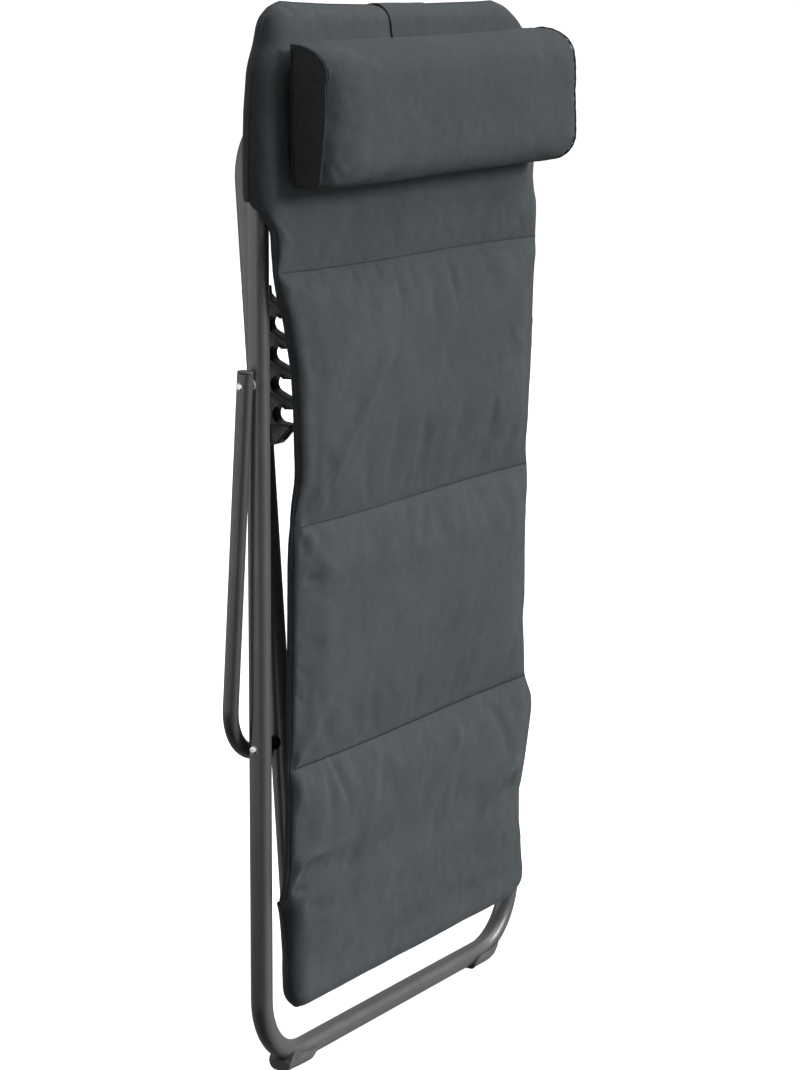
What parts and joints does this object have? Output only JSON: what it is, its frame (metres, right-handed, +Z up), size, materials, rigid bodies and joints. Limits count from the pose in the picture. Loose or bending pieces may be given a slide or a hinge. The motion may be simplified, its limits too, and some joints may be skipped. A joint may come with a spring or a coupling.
{
  "type": "folding deck chair",
  "caption": "Padded folding deck chair, folded flat and standing on end: two looped tube frames, a prop with notched racks, a one-piece quilted mat and a head pillow.",
  "frame": {"origin": "On the floor under the middle of the folded chair's box, at the level of the foot pads' soles.", "axes": "+X across the width, to the right of someone who looks at the mat; +Y from the mat to the frames' rear; +Z up, from the foot pads to the pillow, with the chair folded and standing on its lower end."},
  "size_m": [0.6342, 0.1522, 1.2117],
  "materials": {
    "frame_tube": "satin grey powder coat",
    "prop_tube": "satin grey powder coat",
    "rivet": "bright zinc",
    "mat_fabric": "matt woven polyester",
    "pillow_fabric": "matt woven polyester",
    "strap_fabric": "matt woven elastic band",
    "foot_plastic": "fine texture",
    "black_plastic": "fine texture",
    "nylon": "moulded off-white nylon"
  },
  "bodies": {
    "back_frame": {"back_frame_main_bow": "frame_tube", "back_frame_top_bow": "frame_tube", "foot_pad_left": "foot_plastic", "foot_pad_right": "foot_plastic", "seat_pivot_rivet_left": "rivet", "seat_pivot_rivet_right": "rivet", "seat_pivot_spacer_left": "black_plastic", "seat_pivot_spacer_right": "black_plastic", "prop_pivot_rivet_left": "rivet", "prop_pivot_rivet_right": "rivet", "prop_spacer_left": "nylon", "prop_spacer_right": "nylon", "mat_head_panel": "mat_fabric", "mat_back_panel": "mat_fabric", "mat_seat_panel": "mat_fabric", "mat_fold_strip": "mat_fabric", "head_pillow": "pillow_fabric", "pillow_strap": "strap_fabric"},
    "seat_frame": {"seat_frame_rear_bow": "frame_tube", "seat_frame_front_bow": "frame_tube", "rear_foot_pad_left": "foot_plastic", "rear_foot_pad_right": "foot_plastic", "rack_left": "black_plastic", "rack_right": "black_plastic", "rack_rivet_upper_left": "rivet", "rack_rivet_upper_right": "rivet", "rack_rivet_lower_left": "rivet", "rack_rivet_lower_right": "rivet", "mat_front_panel": "mat_fabric"},
    "prop_frame": {"prop_bow": "prop_tube", "prop_end_plug_left": "black_plastic", "prop_end_plug_right": "black_plastic"}
  },
  "joints": [
    {"name": "seat_frame_fold", "type": "hinge", "parent": "back_frame", "child": "seat_frame", "pos_m": [0, 0.0117, 0.394], "axis": [-1, 0, 0], "range_deg": [0, 66.55], "deforming": ["mat_fold_strip"]},
    {"name": "prop_fold", "type": "hinge", "parent": "back_frame", "child": "prop_frame", "pos_m": [0, 0.0117, 0.803], "axis": [1, 0, 0], "range_deg": [0, 49.34]}
  ]
}
